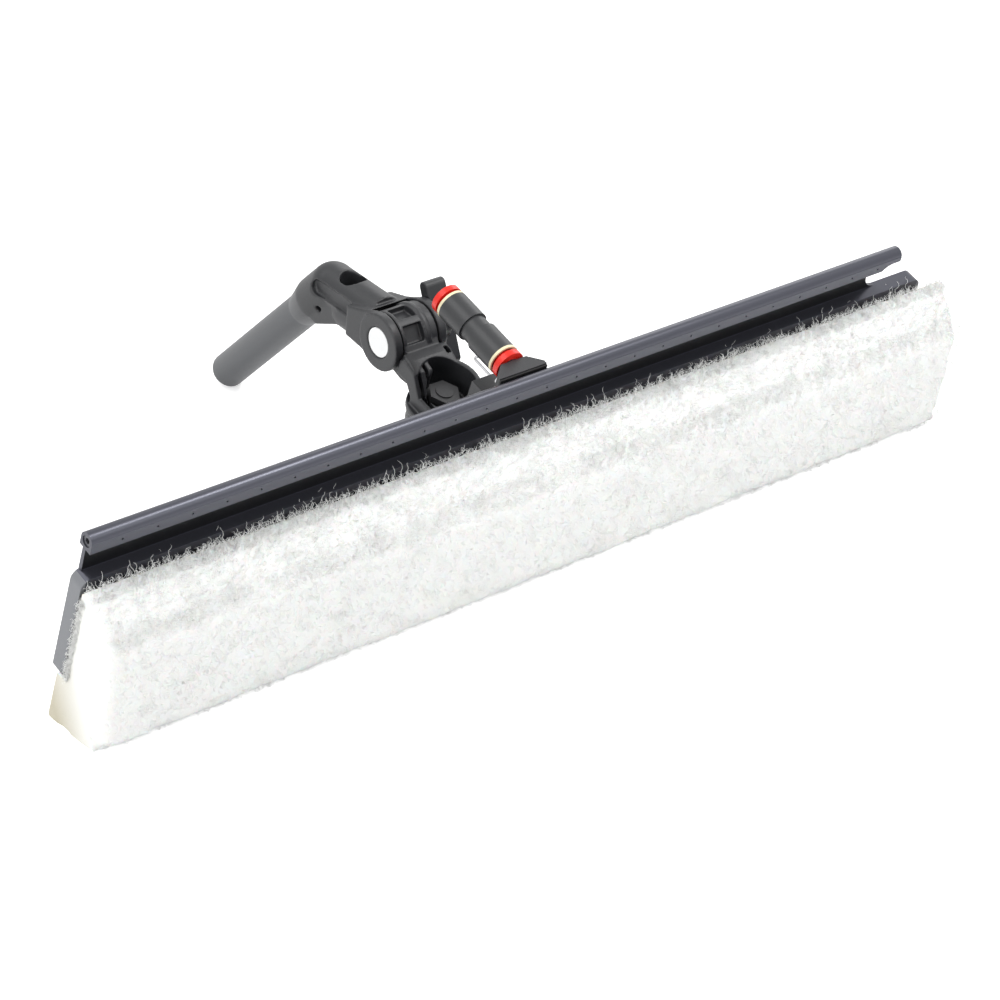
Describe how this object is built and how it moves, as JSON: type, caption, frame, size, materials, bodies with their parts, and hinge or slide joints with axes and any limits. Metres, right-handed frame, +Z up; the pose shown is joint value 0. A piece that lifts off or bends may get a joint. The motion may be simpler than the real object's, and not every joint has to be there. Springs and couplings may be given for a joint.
{
  "type": "window scrubber",
  "caption": "Water-fed window scrubber head: rinse rail with a row of jets, white fibre pad, two-way knuckle, angled pole neck and push-fit hose union.",
  "frame": {"origin": "middle of the footprint, on the floor it stands on", "axes": "+X along the rail towards its slotted end, +Y from the pad towards the pole barrel, +Z up"},
  "size_m": [0.485, 0.2419, 0.1202],
  "materials": {
    "anodised_rail": "dark grey anodised, satin",
    "grey_caps": "moulded, fine grain",
    "steel": "bright zinc",
    "seal_rubber": "smooth",
    "hook_tape": "woven hooks",
    "backing_cloth": "woven",
    "pad_foam": "soft, cream",
    "white_pile": "curly white fibre",
    "black_nylon": "moulded, fine grain",
    "union_plastic": "satin",
    "cream_rings": "satin",
    "red_collet": "glossy",
    "pale_acetal": "smooth",
    "white_cap": "smooth, bare",
    "hose_plastic": "smooth"
  },
  "bodies": {
    "head": {"rail": "anodised_rail", "end_cap_left": "grey_caps", "end_cap_right": "grey_caps", "tube_plugs": "steel", "plug_rings": "seal_rubber", "hook_strip": "hook_tape", "pad_backing": "backing_cloth", "pad_core": "pad_foam", "pad_pile": "white_pile", "inlet_gasket": "seal_rubber", "inlet_block": "black_nylon", "inlet_screws": "steel", "inlet_tube": "hose_plastic", "union_body": "union_plastic", "clamp_rings": "cream_rings", "grab_rings": "steel", "hose_seals": "seal_rubber", "wire_clip": "steel", "swivel_bracket": "black_nylon", "bracket_screws": "steel", "swivel_bolt": "steel", "swivel_washers": "steel", "swivel_nut": "steel"},
    "knuckle": {"knuckle": "black_nylon", "tilt_bushes": "pale_acetal", "tilt_washers": "pale_acetal"},
    "neck": {"neck": "black_nylon", "hub_cap": "white_cap", "pivot_bolt": "steel", "wing_washer": "steel"},
    "wing": {"wing_nut": "black_nylon"},
    "lower_release": {"lower_collet": "red_collet"},
    "upper_release": {"upper_collet": "red_collet"}
  },
  "joints": [
    {"name": "swivel", "type": "hinge", "parent": "head", "child": "knuckle", "pos_m": [-0.0165, -0.04616, 0.06112], "axis": [0, -0.2924, 0.9563], "range_deg": [-35, 35]},
    {"name": "tilt", "type": "hinge", "parent": "knuckle", "child": "neck", "pos_m": [-0.0165, -0.01792, 0.08335], "axis": [1, 0, 0], "range_deg": [-30, 75]},
    {"name": "wing_turn", "type": "hinge", "parent": "neck", "child": "wing", "pos_m": [0.0025, -0.01792, 0.08335], "axis": [1, 0, 0], "range_deg": [0, 180]},
    {"name": "lower_release_push", "type": "slide", "parent": "head", "child": "lower_release", "axis": [0, 0.9563, 0.2924], "range_m": [0, 0.0012], "stiffness_N_per_m": 600},
    {"name": "upper_release_push", "type": "slide", "parent": "head", "child": "upper_release", "axis": [0, -0.9563, -0.2924], "range_m": [0, 0.0012], "stiffness_N_per_m": 600}
  ]
}
